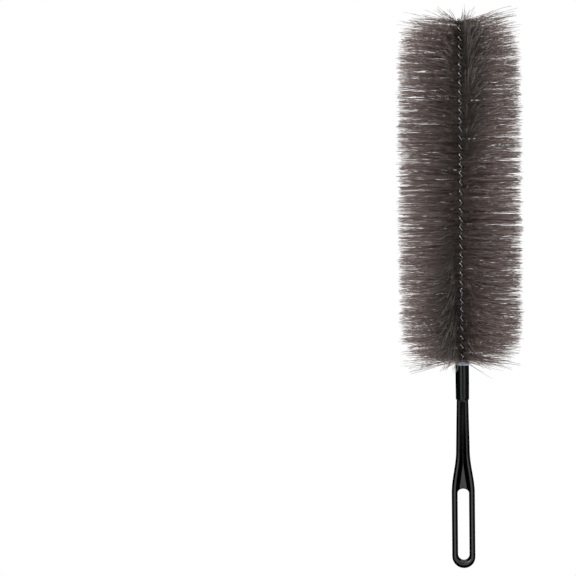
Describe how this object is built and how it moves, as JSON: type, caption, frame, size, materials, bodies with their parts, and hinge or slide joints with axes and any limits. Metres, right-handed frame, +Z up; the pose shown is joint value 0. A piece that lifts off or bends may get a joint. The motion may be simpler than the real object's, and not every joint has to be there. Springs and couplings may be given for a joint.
{
  "type": "ceiling fan duster",
  "caption": "Straight hand duster: a round twisted-wire brush head that bends to shape, on a slim moulded handle with a long hanging slot.",
  "frame": {"origin": "on the handle's axis where a hand holds it, 72 mm above the end of the loop", "axes": "+Z up along the stem towards the tip of the brush head, X across the handle's width, Y through the slot from front to back"},
  "size_m": [0.0886, 0.0885, 0.3991],
  "materials": {
    "handle_plastic": "glossy black moulded plastic",
    "sleeve_plastic": "glossy black plastic, a little cooler than the handle",
    "adhesive": "pale blue-grey cured adhesive, glossy",
    "stem_wire": "black coated steel wire, glossy",
    "bristle": "warm brown-grey synthetic filament, satin"
  },
  "bodies": {
    "root": {"handle": "handle_plastic", "sleeve": "sleeve_plastic", "adhesive_bead": "adhesive", "stem_wire_a": "stem_wire", "stem_wire_b": "stem_wire", "bristles_01": "bristle", "bristles_02": "bristle", "bristles_03": "bristle", "bristles_04": "bristle", "bristles_05": "bristle", "bristles_06": "bristle", "bristles_07": "bristle", "bristles_08": "bristle", "bristles_09": "bristle", "bristles_10": "bristle"}
  },
  "joints": []
}
